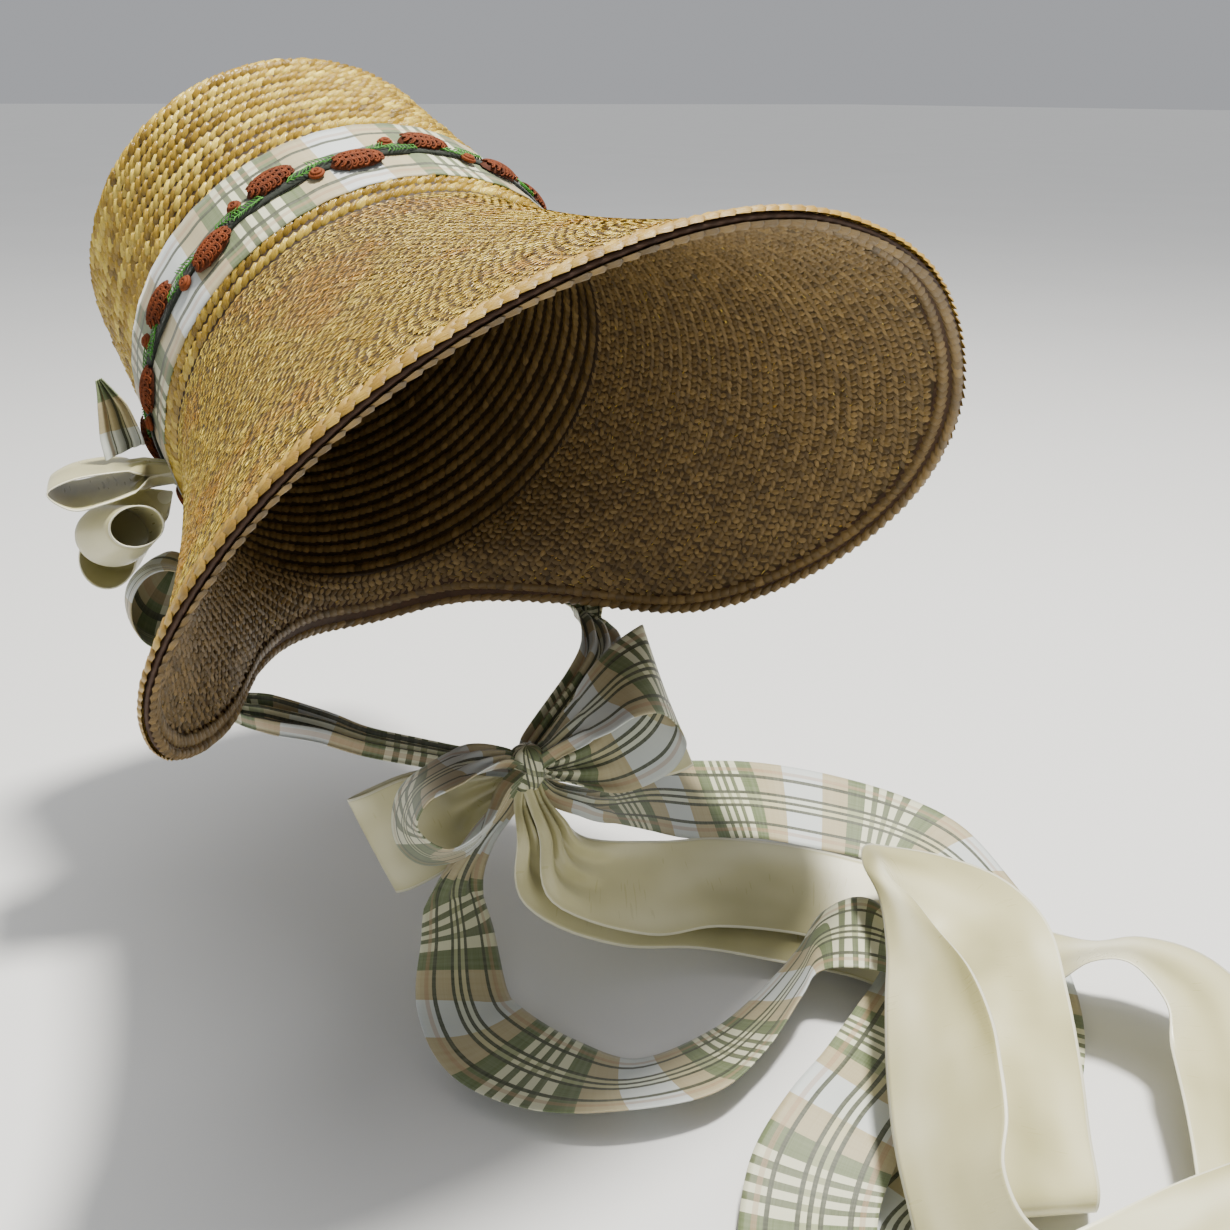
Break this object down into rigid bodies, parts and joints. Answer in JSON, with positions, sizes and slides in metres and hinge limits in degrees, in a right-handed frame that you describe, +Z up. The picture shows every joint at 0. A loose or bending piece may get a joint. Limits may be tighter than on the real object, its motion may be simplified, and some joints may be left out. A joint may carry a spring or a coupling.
{
  "type": "poke bonnet",
  "caption": "Plaited-straw poke bonnet with a tall crown, a deep flaring brim, a plaid band with pine-cone trim, side bow, chin bow and long ribbon ties.",
  "frame": {"origin": "centre of the ring where the crown meets the brim, where a head carries the hat", "axes": "+Z up, the wearer faces -Y, +X is the wearer's left; the crown's axis leans 65 degrees back from upright"},
  "size_m": [0.3358, 0.4521, 0.3129],
  "materials": {
    "straw": "plaited straw in rows, slightly glossy",
    "straw_edge": "straw plait doubled at the edge, dark seam",
    "plaid_taffeta": "woven plaid taffeta, soft sheen",
    "cream_satin": "cream satin ribbon, soft gloss",
    "velvet_trim": "dark velvet strip worked with brown cones and green sprigs"
  },
  "bodies": {
    "root": {"crown": "straw", "brim": "straw", "brim_edge_plait": "straw_edge", "hat_band": "plaid_taffeta", "pine_cone_trim": "velvet_trim", "side_bow_satin_loop_upper": "cream_satin", "side_bow_satin_loop_open": "cream_satin", "side_bow_satin_loop_lower": "cream_satin", "side_bow_plaid_loop": "plaid_taffeta", "side_bow_leaf_tail": "plaid_taffeta", "chin_tie_right": "plaid_taffeta", "chin_tie_left": "plaid_taffeta", "chin_knot": "plaid_taffeta", "chin_bow_plaid_loop_right": "plaid_taffeta", "chin_bow_plaid_loop_left": "plaid_taffeta", "chin_bow_satin_loop_right": "cream_satin", "chin_bow_satin_loop_left": "cream_satin", "plaid_tail_near": "plaid_taffeta", "plaid_tail_far": "plaid_taffeta", "satin_tail_far": "cream_satin", "satin_tail_near": "cream_satin"}
  },
  "joints": []
}
